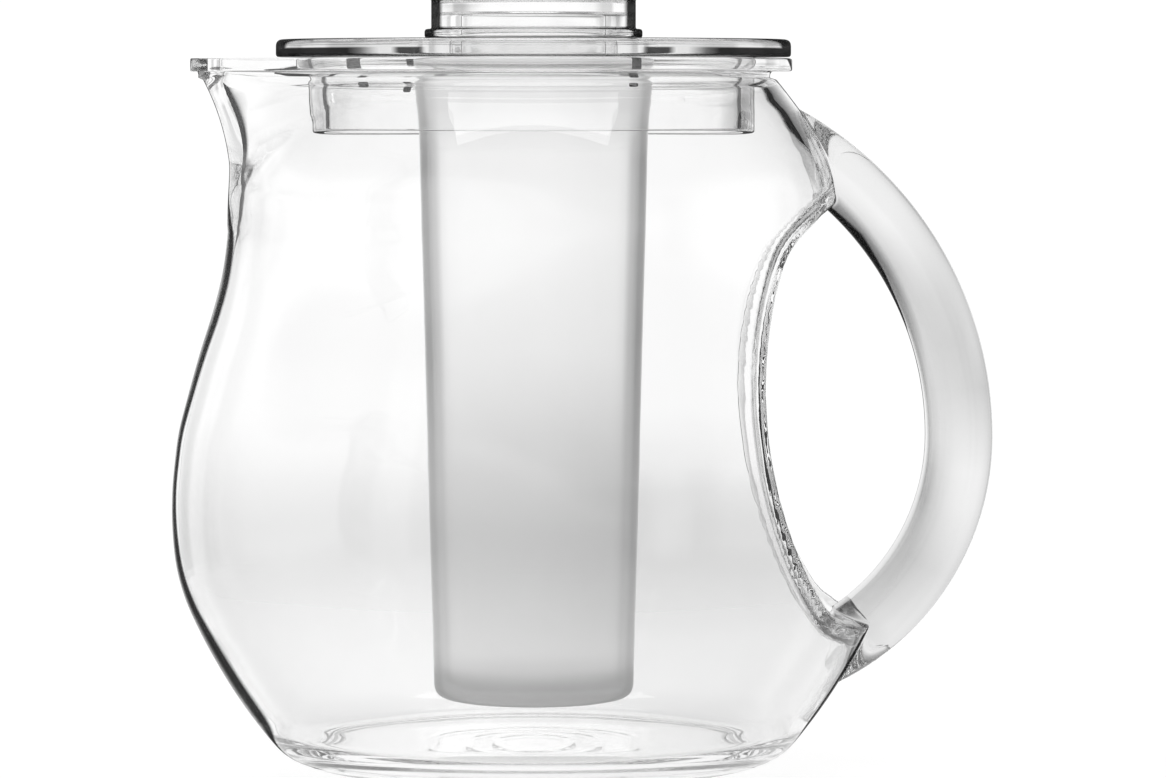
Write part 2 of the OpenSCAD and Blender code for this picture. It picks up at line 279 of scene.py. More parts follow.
def clear_plastic(name, density=0.0, edge_stops=HARD_EDGE, bands=None):
    """Clear acrylic: glass, greyed by the painted shade number, mixed with plain black, painted shade
    for the dark sides of the studio. From outside, the black shows where the cosine between skin
    and eye is below the edge number, and by the ramp of bands where a painted reflection of the
    dark surround is set.
    From inside it shows where the facing value is less than the line number below the critical
    one. A thick piece lets through only exp(-density * length) of the light, lengths in metres."""
    material, nodes, links, output = new_material(name)
    numbers = {}
    for title in ("shade", "edge", "line", "painted_reflection"):
        number = nodes.new("ShaderNodeAttribute")
        number.attribute_name = title
        numbers[title] = number.outputs["Fac"]
    glass = nodes.new("ShaderNodeBsdfPrincipled")
    glass.inputs["Roughness"].default_value = 0.0
    glass.inputs["IOR"].default_value = ACRYLIC_IOR
    glass.inputs["Transmission Weight"].default_value = 1.0
    # Plain black: painted shade for the dark sides of the studio that the plastic shows.
    dark = nodes.new("ShaderNodeBsdfPrincipled")
    dark.inputs["Base Color"].default_value = grey(0.012)
    dark.inputs["Roughness"].default_value = 0.6
    dark.inputs["Specular IOR Level"].default_value = 0.0
    view = nodes.new("ShaderNodeLayerWeight")
    view.inputs["Blend"].default_value = 0.5
    facing = view.outputs["Facing"]
    geometry = nodes.new("ShaderNodeNewGeometry")
    turned_away = math_node(nodes, links, "DIVIDE", math_node(nodes, links, "SUBTRACT", 1.0, facing),
                            numbers["edge"])
    below = math_node(nodes, links, "DIVIDE",
                      math_node(nodes, links, "SUBTRACT", CRITICAL_FACING, facing), numbers["line"])
    outer_edge = ramp(nodes, edge_stops)
    inner_edge = ramp(nodes, INNER_EDGE)
    links.new(turned_away, outer_edge.inputs["Fac"])
    links.new(below, inner_edge.inputs["Fac"])
    outside = outer_edge.outputs["Color"]
    if bands:
        band = ramp(nodes, bands)
        links.new(facing, band.inputs["Fac"])
        painted_reflection_share = math_node(nodes, links, "MULTIPLY", band.outputs["Color"], numbers["painted_reflection"])
        outside = math_node(nodes, links, "MAXIMUM", outside, painted_reflection_share)
    either = nodes.new("ShaderNodeMix")
    mix = nodes.new("ShaderNodeMixShader")
    # The shade number is painted shade in the glass's colour.
    links.new(numbers["shade"], glass.inputs["Base Color"])
    links.new(geometry.outputs["Backfacing"], either.inputs["Factor"])
    links.new(outside, either.inputs["A"])
    links.new(inner_edge.outputs["Color"], either.inputs["B"])
    links.new(either.outputs["Result"], mix.inputs["Fac"])
    links.new(glass.outputs["BSDF"], mix.inputs[1])
    links.new(dark.outputs["BSDF"], mix.inputs[2])
    links.new(mix.outputs["Shader"], output.inputs["Surface"])
    if density > 0:
        depth = nodes.new("ShaderNodeVolumeAbsorption")
        depth.inputs["Color"].default_value = grey(0)
        depth.inputs["Density"].default_value = density
        links.new(depth.outputs["Volume"], output.inputs["Volume"])
    return material


# %% The four clear plastics
# Painted reflection of the dark surround. On the rim of the plate it shows twice: in a short
# dash and, towards the silhouette, in one long band. The rim of the cap is painted dark all along.
PLATE_BANDS = [(0.0, 0), (0.092, 0), (0.104, 0.92), (0.150, 0.92), (0.168, 0), (0.2, 0), (0.26, 0.75),
               (0.31, 0.97), (1.0, 0.97)]
CAP_BANDS = [(0.0, 0.85), (0.5, 0.97), (1.0, 0.97)]
HANDLE_DENSITY = 5
LID_DENSITY = 1
acrylic_body = clear_plastic("clear_body_acrylic", 0, SOFT_EDGE)
acrylic_handle = clear_plastic("clear_handle_acrylic", HANDLE_DENSITY)
acrylic_lid = clear_plastic("clear_lid_acrylic", LID_DENSITY, HARD_EDGE, PLATE_BANDS)
acrylic_cap = clear_plastic("clear_cap_acrylic", 0, HARD_EDGE, CAP_BANDS)
clear_plastics = (acrylic_body, acrylic_handle, acrylic_lid, acrylic_cap)
print("clear materials:", [material.name for material in clear_plastics])

# %% [markdown]
# ## The jug
#
# The body is round, but a pouring lip grows out of its shoulder and a scoop is cut from its
# back. All three can be said as "how far is the wall from the axis, in this direction, at this
# height", so the jug is one polar surface: a round radius, a soft maximum with the lip and
# a soft minimum with the scoop. Boolean modifiers could join and cut three solids instead, but
# they leave hard creases, and clear plastic shows every one. The rows run from the middle of the
# underside up the outside, over the rim, down the inside and across the floor.

# %% The jug's outline
# Height as a share of the jug, and the share of the way from the foot's or the neck's radius to
# the belly's: the same points as in the part's source.
LOWER_SHARES = [(0, 0), (0.018, 0.19), (0.06, 0.38), (0.103, 0.54), (0.147, 0.68), (0.19, 0.8),
                (0.235, 0.905), (0.282, 0.972), (0.335, 1), (0.385, 1)]
UPPER_SHARES = [(0.43, 0.978), (0.474, 0.943), (0.53, 0.861), (0.587, 0.77), (0.64, 0.675),
                (0.692, 0.6), (0.745, 0.557), (0.795, 0.543), (0.838, 0.51), (0.873, 0.432),
                (0.907, 0.318), (0.945, 0.162)]
lower = np.array(LOWER_SHARES)
upper = np.array(UPPER_SHARES)
outline_points = np.vstack([
    np.column_stack([FOOT_R + (BELLY_R - FOOT_R)*lower[:, 1], RIM_Z*lower[:, 0]]),
    np.column_stack([NECK_R + (BELLY_R - NECK_R)*upper[:, 1], RIM_Z*upper[:, 0]]),
    [[NECK_R, FLANGE_Z]]])
outer_line = smooth_line(outline_points, 5)
widest = outer_line[:, 0].max()
shrink = (jug_high[1] - NECK_R) / (widest - NECK_R)
outer_line[:, 0] = np.where(outer_line[:, 0] > NECK_R, NECK_R + (outer_line[:, 0] - NECK_R)*shrink,
                            outer_line[:, 0])


# %% The jug's wall
def spread(z, heights, values):
    """Values joined over the height by a smooth line, heights in mm."""
    line = smooth_line(np.column_stack([np.array(heights)*MM, values]), 6)
    return np.interp(z, line[:, 0], line[:, 1])


# Heights and thicknesses in mm. The neck's wall is even, since an uneven one works as a prism and
# doubles the line of the skirt behind it.
WALL_TABLE = ([0, 17, 50, 84, 112, 124, 136, 148, 160, 169],
              [2.6, 2.4, 1.6, 1.6, 1.6, 1.9, 2.8, 3.2, 3.2, 3.2])
FLOOR_CORNER = 4.5 * MM
MOUTH_DEPTH = 3.2 * MM


def wall(z):
    """Wall thickness at a height: thin in the belly, thick at the foot and the neck."""
    return spread(z, *WALL_TABLE) * MM


slope = np.gradient(outer_line, axis=0)
slope /= np.linalg.norm(slope, axis=1, keepdims=True)
inward = np.column_stack([-slope[:, 1], slope[:, 0]])
inner_line = outer_line + inward * wall(outer_line[:, 1])[:, None]
kept = (inner_line[:, 1] > FLOOR_T + FLOOR_CORNER) & (inner_line[:, 1] < FLANGE_Z - MOUTH_DEPTH)
inner_line = inner_line[kept]
inner_line[:, 0] = np.maximum(inner_line[:, 0], MOUTH_R)
inner_line[2:-2, 0] = np.convolve(inner_line[:, 0], np.ones(5)/5, "valid")
print(f"outline: {len(outer_line)} points outside, {len(inner_line)} inside")


# %% The lip and the scoop as polar radii
def soft_max(a, b, width):
    """The larger of two values, with the crease between them filled over the given width."""
    h = np.maximum(width - np.abs(a - b), 0) / width
    return np.maximum(a, b) + h*h*width/4


def soft_min(a, b, width):
    """The smaller of two values, with the ridge between them worn down over the given width."""
    return -soft_max(-a, -b, width)


LIP_FLARE_R = 58 * MM
LIP_NOSE_R = 11 * MM
LIP_ROOT_SHARE = 0.543
LIP_ROOT_R = NECK_R + (BELLY_R - NECK_R)*LIP_ROOT_SHARE - 0.5*MM
LIP_ROOT_Z = RIM_Z - LIP_FLARE_R*math.sin(math.acos(1 - (LIP_REACH - LIP_ROOT_R)/LIP_FLARE_R))
# The lip's fairing into the shoulder starts a little below its root.
LIP_START = LIP_ROOT_Z - 8*MM
LIP_BLEND = 2 * MM
SCOOP_WALL = 2.2 * MM
SCOOP_R = 84 * MM
SCOOP_X = 51.5 * MM
SCOOP_Z = 89.2 * MM
SCOOP_TOP = 134.5 * MM
SCOOP_BOTTOM = 33.5 * MM
SCOOP_CROSS_R = 800 * MM
TOP_LEDGE = math.radians(31)
BOTTOM_LEDGE = math.radians(15)
LEDGE_BLEND = 9 * MM
print(f"lip root at {LIP_ROOT_Z / MM:.1f} mm, scoop {SCOOP_X / MM:.1f} mm from the axis")


def lip_tip(z):
    """Reach of the lip's outside: an arc that leaves the shoulder upright,
    root + R - sqrt(R^2 - rise^2)."""
    rise = np.clip(z - LIP_ROOT_Z, 0, RIM_Z - LIP_ROOT_Z)
    return LIP_ROOT_R + LIP_FLARE_R - np.sqrt(LIP_FLARE_R**2 - rise**2)


def lip_nose(z, r):
    """Radius of the lip's nose: as blunt as the body, r, where the lip starts, sharper upwards,
    nose = N + (r - N)(1 - rise)^1.6."""
    rise = np.clip((z - LIP_ROOT_Z)/(RIM_Z - LIP_ROOT_Z), 0, 1)
    return LIP_NOSE_R + (r - LIP_NOSE_R)*(1 - rise)**1.6


def teardrop_parts(r, tip, nose):
    """Reach of the nose circle's middle, the angle at which the nose ends and the one at which the
    cheek runs into the round body, both from the -X axis."""
    middle = np.maximum(tip - nose, 0.1*MM)
    cheek_end = np.where(tip > 0, np.arccos(np.clip((r - nose)/middle, -1, 1)), 0)
    nose_end = np.arctan2(nose*np.sin(cheek_end), middle + nose*np.cos(cheek_end))
    return middle, np.where(tip > 0, nose_end, 0), cheek_end


def teardrop_radius(r, tip, nose, angle):
    """Polar radius of the outline stretched round a circle of radius r about the axis and the
    nose circle on the -X side: nose arc, then a straight cheek r / cos(psi - phi), then r."""
    psi = np.abs(math.pi - np.mod(angle, 2*math.pi))
    middle, nose_end, cheek_end = teardrop_parts(r, tip, nose)
    under_root = np.maximum(nose**2 - (middle*np.sin(psi))**2, 0)
    round_nose = middle*np.cos(psi) + np.sqrt(under_root)
    cheek = r / np.maximum(np.cos(psi - cheek_end), 0.05)
    return np.where(psi < nose_end, round_nose, np.where(psi < cheek_end, cheek, r))


def scoop_radius(z, angle, inset):
    """Polar radius of the scoop's hollow. Seen from the side it is an arc between two ledges,
    joined by fillets; seen from above it is very slightly hollow, x = X + y^2 / 2R. Where there
    is no scoop the radius is 1 m, past everything."""
    reach = np.sqrt(np.maximum((SCOOP_R + inset)**2 - (z - SCOOP_Z)**2, 0))
    arc = SCOOP_X + SCOOP_R - reach
    top_r = np.interp(SCOOP_TOP, outer_line[:, 1], outer_line[:, 0])
    bottom_r = np.interp(SCOOP_BOTTOM, outer_line[:, 1], outer_line[:, 0])
    top = top_r + (z - SCOOP_TOP - inset/math.cos(TOP_LEDGE))/math.tan(TOP_LEDGE)
    bottom = bottom_r + (SCOOP_BOTTOM - inset/math.cos(BOTTOM_LEDGE) - z)/math.tan(BOTTOM_LEDGE)
    x = soft_max(arc, soft_max(top, bottom, 1*MM), LEDGE_BLEND)
    c, s2 = np.cos(angle), np.maximum(np.sin(angle)**2, 1e-6)
    inside = c*c - 2*s2*x/SCOOP_CROSS_R
    hollow = SCOOP_CROSS_R * (c - np.sqrt(np.maximum(inside, 0))) / s2
    return np.where((c > 0.05) & (inside > 0), hollow, 1.0)


# %% The jug's rows
# Each row is [radius, height, lip's reach, nose radius, inset of the scoop]. Below the lip the
# reach is zero, so that the row stays round.
def rows_from(line, tip, nose, inset):
    """Adds the lip's reach, its nose and the scoop's inset to a line of [radius, height] points."""
    n = len(line)
    return np.column_stack([line, np.broadcast_to(tip, n), np.broadcast_to(nose, n),
                            np.broadcast_to(inset, n)])


# Faint moulding rings stand on the floor, each a ridge h exp(-((r - R) / w)^2).
RING_R = np.array([9, 15.5, 24.5]) * MM
RING_W = 0.9 * MM
RING_H = 0.05 * MM
floor_r = np.concatenate([np.linspace(0.4*MM, 27*MM, 34), np.linspace(29*MM, FOOT_R - 4.5*MM, 7)])
ripple = RING_H*np.exp(-((floor_r[:, None] - RING_R)/RING_W)**2).sum(axis=1)
floor_line = np.column_stack([floor_r, FLOOR_T + ripple])[::-1]
# The underside is a shallow recess inside the foot ring.
RECESS_R = [0.4, 12, 24, 36, 46]
ring_in = FOOT_R - FOOT_RING_W
under_line = rounded(
    [*((r*MM, FOOT_RECESS) for r in RECESS_R), (ring_in, FOOT_RECESS), (ring_in + 1*MM, 0),
     (FOOT_R, 0), (FOOT_R + 2.4*MM, 1.2*MM)],
    [0, 0, 0, 0, 0, 0.4*MM, 0.4*MM, 0.8*MM, 0], 5)
body_line = outer_line[(outer_line[:, 1] > 1.3*MM) & (outer_line[:, 1] < FLANGE_Z - 1.6*MM)]
body_z = body_line[:, 1]
body_tip = np.where(body_z > LIP_START, soft_max(lip_tip(body_z), body_line[:, 0], LIP_BLEND), 0)

# %% The jug's rows inside
# The lip's wall is as thick as the neck's at each height, so that the two skins stay parallel and
# what stands behind the lip isn't bent.
inner_down = inner_line[::-1]
inner_z = inner_down[:, 1]
outer_r = np.interp(inner_z, outer_line[:, 1], outer_line[:, 0])
inner_wall = outer_r - inner_down[:, 0]
inner_reach = soft_max(lip_tip(inner_z), outer_r, LIP_BLEND) - inner_wall
inner_tip = np.where(inner_z > LIP_START, inner_reach, 0)
inner_nose = lip_nose(inner_z, outer_r) - inner_wall
# The flange: each corner is [radius, height], and its reach at the lip lies as far out as its
# radius.
RIM_EDGE = 0.6 * MM
neck_tip = lip_tip(FLANGE_Z)
rim_corners = [(NECK_R, FLANGE_Z - 1.5*MM), (NECK_R, FLANGE_Z), (FLANGE_R, FLANGE_Z),
               (FLANGE_R, RIM_Z), (MOUTH_R, RIM_Z), (MOUTH_R, FLANGE_Z - 2.5*MM)]
rim_line = rounded(rim_corners, [0, 1.2*MM, RIM_EDGE, RIM_EDGE, RIM_EDGE, 0], 6)
mouth_tip = lip_tip(FLANGE_Z - 3*MM) - inner_wall[0]
rim_tip = np.interp(rim_line[:, 0], [MOUTH_R, NECK_R, FLANGE_R], [mouth_tip, neck_tip, LIP_REACH])
rim_nose = np.interp(rim_line[:, 0], [MOUTH_R, FLANGE_R], [inner_nose[0], LIP_NOSE_R + 1*MM])
corner = rounded([inner_down[-1], (FOOT_R + 2*MM, FLOOR_T), floor_line[0]], [0, 5.5*MM, 0], 10)
rows = np.vstack([
    rows_from(under_line, 0, LIP_NOSE_R, 0),
    rows_from(body_line, body_tip, lip_nose(body_z, body_line[:, 0]), 0),
    rows_from(rim_line, rim_tip, rim_nose, 0),
    rows_from(inner_down, inner_tip, inner_nose, SCOOP_WALL),
    rows_from(corner[1:-1], 0, LIP_NOSE_R, SCOOP_WALL),
    rows_from(floor_line, 0, LIP_NOSE_R, SCOOP_WALL)])
print(f"jug: {len(rows)} rows")

# %% The jug's surface
# The crease along the scoop is a little rounder inside than outside.
CREASE_OUT = 2.2 * MM
CREASE_IN = 4.5 * MM


def jug_columns(n):
    """Directions round the axis, closest together at the lip: a + 0.3 sin(a) - 0.1 sin(2a)."""
    a = np.linspace(0, 2*math.pi, n, endpoint=False)
    return a + 0.3*np.sin(a) - 0.1*np.sin(2*a)


def jug_surface(rows, angle):
    """Radius = soft minimum of the teardrop round body and lip, and the scoop. The foot and the
    rim aren't scooped."""
    r, z, tip, nose, inset = (rows[:, k:k+1] for k in range(5))
    a = angle[None, :]
    wide = teardrop_radius(r, tip, nose, a)
    low = (z < 10*MM) | (z > RIM_Z - 8*MM)
    crease = np.where(inset > 0, CREASE_IN, CREASE_OUT)
    radius = np.where(low, wide, soft_min(wide, scoop_radius(z, a, inset), crease))
    return np.stack([radius*np.cos(a), radius*np.sin(a), z + 0*a], axis=-1)


columns = jug_columns(312)
jug_grid = jug_surface(rows, columns)
print("jug surface:", jug_grid.shape[0], "rows by", jug_grid.shape[1], "columns")

# %% The jug's painted shade and lines
# Heights in mm with the width of the painted dark line in mm, outside and from inside, and with
# the painted shade of the wall, all round and once more on the side of the handle.
LINE_OUTSIDE = ([0, 6, 14, 27, 39, 49, 67, 91, 110, 120, 126, 132, 138, 160, 165.5, 166.5, 169],
                [0.05, 0.4, 2.3, 2.5, 2.0, 1.6, 1.1, 1.5, 2.1, 2.1, 1.8, 0.8, 0.25, 0.2, 0.3, 1.2,
                 1.2])
LINE_INSIDE = ([0, 110, 119, 126, 132, 138, 150, 160, 165, 169],
               [0.05, 0.05, 0.05, 0.5, 3.0, 4.4, 4.2, 2.8, 0.5, 0.3])
PAINTED_SHADE_ROUND = ([0, 17, 30, 40, 52, 62, 76, 91, 170],
              [0.985, 0.98, 0.97, 0.93, 0.875, 0.905, 0.975, 1.0, 1.0])
PAINTED_SHADE_HANDLE_SIDE = ([0, 20, 35, 41, 55, 63, 70, 84, 170],
                    [0.97, 0.95, 0.95, 0.93, 0.93, 0.945, 0.968, 1.0, 1.0])
# Half widths, as angles from the spout: of the lip's nose, of the line inside the lip, and of the
# half of the jug that faces the spout.
NOSE_TURN = 0.5
LIP_LINE_TURN = 0.34
SPOUT_TURN = 1.5
NO_LINE = 0.002
INNER_ROWS = len(inner_down) + len(corner) - 2 + len(floor_line)


def jug_skin(grid, rows, angle):
    """The jug's four numbers. A painted dark line w wide shows on a round of radius r where the cosine
    is below sqrt(2 w / r); from inside, where facing is less than 0.6 w / r below the critical value.
    The line inside the lip fades sideways as exp(-(psi / turn)^4), psi being the angle from the
    spout, and on the handle's half of the jug it comes in only over the shoulder. The scoop, the foot
    and the inner skin have next to no edge. Low down the walls carry painted shade, a little grey,
    more so on the side of the handle."""
    r, z, tip, nose = (rows[:, k:k+1] for k in range(4))
    side = 0.5 + 0.5*np.tanh(grid[..., 0]/(12*MM))
    psi = np.abs(math.pi - angle[None, :])
    on_nose = np.exp(-(psi/NOSE_TURN)**4) * np.clip((z - LIP_ROOT_Z)/(6*MM), 0, 1)
    bend = np.maximum(r, 20*MM)*(1 - on_nose) + np.maximum(nose, 6*MM)*on_nose
    inside = (np.arange(len(rows)) >= len(rows) - INNER_ROWS)[:, None]
    outer_w = spread(z, *LINE_OUTSIDE) * MM
    inner_w = spread(z, *LINE_INSIDE) * MM
    outer_w = outer_w * (1 - 0.7*on_nose*(z > FLANGE_Z)) * (1 - 0.75*side*(z < 40*MM))
    wide = teardrop_radius(r, tip, nose, angle[None, :])
    flat = scoop_radius(z, angle[None, :], 0) < wide + 4*MM
    edge = np.where(inside | (z < 1*MM), 0.02, np.where(flat, 0.03, np.sqrt(2*outer_w/bend)))
    near_lip = np.exp(-(psi/LIP_LINE_TURN)**4)
    at_lip = (psi < SPOUT_TURN) & (z > LIP_START)
    shoulder = np.where(psi < SPOUT_TURN, 1, np.clip((z - 146*MM)/(10*MM), 0.015, 0.4))
    line = np.where(inside, 0.6*inner_w/bend*np.where(at_lip, near_lip, shoulder), NO_LINE)
    # Painted shade: the walls grey by height, more so on the handle's side.
    tone = spread(z, *PAINTED_SHADE_ROUND)
    handle_side = spread(z, *PAINTED_SHADE_HANDLE_SIDE)
    return skin(grid, tone*(1 - side + side*handle_side), edge, np.where(flat, NO_LINE, line))


# %% The jug
jug = closed_piece("jug_shell", jug_grid, "jug", acrylic_body,
                   attributes=jug_skin(jug_grid, rows, columns))
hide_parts("jug_body")

# %% [markdown]
# ## The handle
#
# The handle is a bar with rounded sides, swept along two arcs. It is cut where it meets the
# body, so each line along the bar is followed until it reaches the body's surface, and the two
# ends take on that surface's shape. A boolean cut would do that too, but its long thin triangles
# show in a gloss. A film of air stays in the joint, because two clear solids must not overlap.

# %% The handle's sweep
HANDLE_T = 15.7 * MM
HANDLE_W = handle_high[1] - handle_low[1]
HANDLE_Z = 78.1 * MM
HANDLE_REACH = handle_high[0] - HANDLE_T/2
HANDLE_TOP_R = 81.3 * MM
HANDLE_LOW_R = 57.6 * MM
JOINT_FILM = 0.12 * MM


def bar_point(t, depth, across):
    """Point of the bar: t is the angle along the two arcs from the widest point, up if positive;
    depth is measured outwards from the middle line, across along Y."""
    r = np.where(t > 0, HANDLE_TOP_R, HANDLE_LOW_R)
    x = HANDLE_REACH - r + (r + depth)*np.cos(t)
    z = HANDLE_Z + (r + depth)*np.sin(t)
    return np.stack(np.broadcast_arrays(x, across, z), axis=-1)


def outside_jug(p):
    """Distance outside the jug's outer surface, measured along the radius, less the film."""
    radius = np.hypot(p[..., 0], p[..., 1])
    angle = np.arctan2(p[..., 1], p[..., 0])
    z = p[..., 2]
    body = np.interp(z, outer_line[:, 1], outer_line[:, 0])
    body = np.where(z > FLANGE_Z - JOINT_FILM, FLANGE_R, body)
    return radius - soft_min(body, scoop_radius(z, angle, 0), CREASE_OUT) - JOINT_FILM


# %% The handle's ends
def bar_end(depth, across, from_t, to_t):
    """Angle at which each line along the bar meets the jug: the last sample outside it,
    refined by the straight line between the two samples at the crossing."""
    t = np.linspace(0, 1, 700)[:, None]
    t = from_t + (to_t - from_t)*t
    d = outside_jug(bar_point(t, depth[None], across[None]))
    first = np.argmax(d < 0, axis=0)
    first = np.where((d < 0).any(axis=0), first, len(t) - 1)
    column = np.arange(len(depth))
    d0, d1 = d[first - 1, column], d[first, column]
    share = np.clip(d0 / np.maximum(d0 - d1, 1e-9), 0, 1)
    return t[first - 1, 0] + share*(t[first, 0] - t[first - 1, 0])


def bar_section(n, share):
    """Section of the bar, drawn in by a share: two half circles as thick as the bar, moved apart
    along Y, with points bunched on the half circles: Y = R sin(u) + shift * tanh(k sin(u))."""
    u = np.linspace(0, 2*math.pi, n, endpoint=False)
    radius = HANDLE_T/2
    shift = HANDLE_W/2 - radius
    depth = radius*np.cos(u) * share
    across = (radius*np.sin(u) + shift*np.tanh(6*np.sin(u))/math.tanh(6)) * share
    return depth, across


# The search for the joint runs between these angles, up for the top end and down for the low one.
AROUND = 128
SEARCH_FROM = math.radians(5)
SEARCH_TO = math.radians(88)
depth, across = bar_section(AROUND, 1)
top_end = bar_end(depth, across, SEARCH_FROM, SEARCH_TO)
low_end = bar_end(depth, across, -SEARCH_FROM, -SEARCH_TO)
print(f"handle ends at {np.degrees(low_end.mean()):.0f} and {np.degrees(top_end.mean()):.0f} degrees")

# %% The handle's rows
along = np.linspace(0, 1, 150)[:, None]
side_rows = bar_point(low_end[None] + (top_end - low_end)[None]*along, depth[None], across[None])


def bar_cap(from_t, to_t, shares):
    """Rows across the end of the bar, from its rim to its middle, lying on the jug."""
    caps = []
    for share in shares:
        d, w = bar_section(AROUND, share)
        caps.append(bar_point(bar_end(d, w, from_t, to_t), d, w))
    return np.array(caps)


shares = np.array([0.985, 0.95, 0.85, 0.7, 0.5, 0.3, 0.1])
low_cap = bar_cap(-SEARCH_FROM, -SEARCH_TO, shares)[::-1]
top_cap = bar_cap(SEARCH_FROM, SEARCH_TO, shares)
handle_grid = np.concatenate([low_cap, side_rows, top_cap])
print("handle surface:", handle_grid.shape[0], "rows by", handle_grid.shape[1], "columns")

# %% The handle's painted shade and edge
# Angles along the arcs in degrees, up if positive, with the painted shade of the bar's inner
# edge, middle and outer edge, and angles with the width of the painted dark inner edge.
HANDLE_TURNS = [-64, -48, -32, -16, -8, 0, 8, 16, 24, 32, 40, 56, 70]
PAINTED_SHADE_INNER = [0.586, 0.50, 0.41, 0.38, 0.49, 0.72, 0.825, 0.815, 0.65, 0.37, 0.36, 0.9, 1]
PAINTED_SHADE_MIDDLE = [0.65, 0.775, 0.67, 0.895, 0.945, 0.89, 0.76, 0.70, 0.737, 0.87, 1, 1, 1]
PAINTED_SHADE_OUTER = [1, 1, 1, 1, 0.955, 0.78, 0.574, 0.77, 0.87, 0.955, 1, 1, 1]
PAINTED_DARK_BAND = ([20, 26, 32, 40, 56, 78], [0, 0.15, 0.45, 0.65, 0.3, 0.2])


def handle_skin(grid):
    """Painted shade and edge of the handle's skin: t is the angle along the arcs, d the depth from -1
    at the inner edge to 1 at the outer. Across the bar the painted shade is the parabola through
    three tones, at d = -0.7, 0 and 0.7. High up, the inner edge is painted dark."""
    z = grid[..., 2] - HANDLE_Z
    x = grid[..., 0] - HANDLE_REACH
    arc_r = np.where(z > 0, HANDLE_TOP_R, HANDLE_LOW_R)
    t = np.degrees(np.arctan2(z, x + arc_r))
    d = (np.hypot(z, x + arc_r) - arc_r) / (HANDLE_T/2)
    inner = np.interp(t, HANDLE_TURNS, PAINTED_SHADE_INNER)
    middle = np.interp(t, HANDLE_TURNS, PAINTED_SHADE_MIDDLE)
    outer = np.interp(t, HANDLE_TURNS, PAINTED_SHADE_OUTER)
    u = np.clip(d, -0.8, 0.8) / 0.7
    shade = middle + (outer - inner)/2*u + ((outer + inner)/2 - middle)*u*u
    band = np.interp(t, *PAINTED_DARK_BAND) * np.clip(-3*d, 0, 1)
    return skin(grid, np.clip(shade, 0.05, 1), 0.05 + band, NO_LINE)


# %% The handle
handle = closed_piece("grip", handle_grid, "jug", acrylic_handle,
                      attributes=handle_skin(handle_grid))
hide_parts("handle")

# %% [markdown]
# ## The lid
#
# The lid is turned: a plate, a skirt and a spigot with the filler bore through it. Its profile
# is one closed outline, so the piece is a ring without poles. Three small pegs stand under the
# plate. A hair of air keeps them apart from it, because two clear solids must not overlap. Plate,
# skirt and spigot could be three pieces, but every seam inside clear plastic would show.

# %% The lid's profile
LID_Z = RIM_Z + 0.3*MM
LID_R = lid_high[0]
LID_TOP = lid_high[2]
SKIRT_Z = lid_low[2]
SKIRT_R = MOUTH_R - 0.3*MM
SKIRT_T = 3 * MM
FILLER_R = 20 * MM
SPIGOT_R = 25.1 * MM
SPIGOT_Z = LID_Z - 8.8*MM
lid_line = rounded(
    [(FILLER_R, LID_TOP), (FILLER_R, SPIGOT_Z), (SPIGOT_R, SPIGOT_Z), (SPIGOT_R, LID_Z),
     (SKIRT_R - SKIRT_T, LID_Z), (SKIRT_R - SKIRT_T, SKIRT_Z), (SKIRT_R, SKIRT_Z),
     (SKIRT_R, LID_Z), (LID_R, LID_Z), (LID_R, LID_Z + 1.9*MM), (LID_R, LID_Z + 2.2*MM),
     (LID_R, LID_TOP)],
    np.array([0.6, 0.5, 0.7, 1.2, 1.2, 0.5, 0.5, 0.6, 0.8, 0, 0, 1.7]) * MM, 8)
print(f"lid: {len(lid_line)} points in its outline, plate radius {LID_R / MM:.1f} mm")

# %% The pegs under the plate
PEG_H = 6.7 * MM
PEG_R = 1 * MM
PEG_GAP = 0.02 * MM
PEG_ANGLES = np.radians([136, 210.6, 300.6])
PEG_CIRCLE = 44.8 * MM
PEG_COLUMNS = 32


def peg_parts(angles):
    """Small round pegs with rounded ends, as one set of points, quads, triangles and numbers.
    Their skin is painted shade, dark from every side."""
    line = rounded([(0.05*MM, LID_Z - PEG_H), (PEG_R, LID_Z - PEG_H), (PEG_R, LID_Z - PEG_GAP),
                    (0.05*MM, LID_Z - PEG_GAP)], [0, 0.5*MM, 0.1*MM, 0], 6)
    grid = turned(line, PEG_COLUMNS)
    points, quads, triangles = [], [], []
    j = np.arange(PEG_COLUMNS)
    j2 = (j + 1) % PEG_COLUMNS
    n = len(line)*PEG_COLUMNS
    end = n - PEG_COLUMNS
    start = 0
    for a in angles:
        shift = np.array([PEG_CIRCLE*math.cos(a), PEG_CIRCLE*math.sin(a), 0])
        low = grid[0].mean(axis=0)
        high = grid[-1].mean(axis=0)
        points.append(np.vstack([grid.reshape(-1, 3), [low, high]]) + shift)
        quads.append(grid_faces(len(line), PEG_COLUMNS, False) + start)
        triangles.append(np.stack([np.full(PEG_COLUMNS, n), j2, j], axis=-1) + start)
        triangles.append(np.stack([np.full(PEG_COLUMNS, n + 1), end + j, end + j2], axis=-1) + start)
        start += n + 2
    peg_skin = {"shade": 0.3, "edge": 1.2, "line": 0.02, "painted_reflection": 0.0}
    return np.vstack(points), np.vstack(quads), np.vstack(triangles), peg_skin


pegs = peg_parts(PEG_ANGLES)
print(f"pegs: {len(PEG_ANGLES)}, each {PEG_H / MM:.1f} mm long")


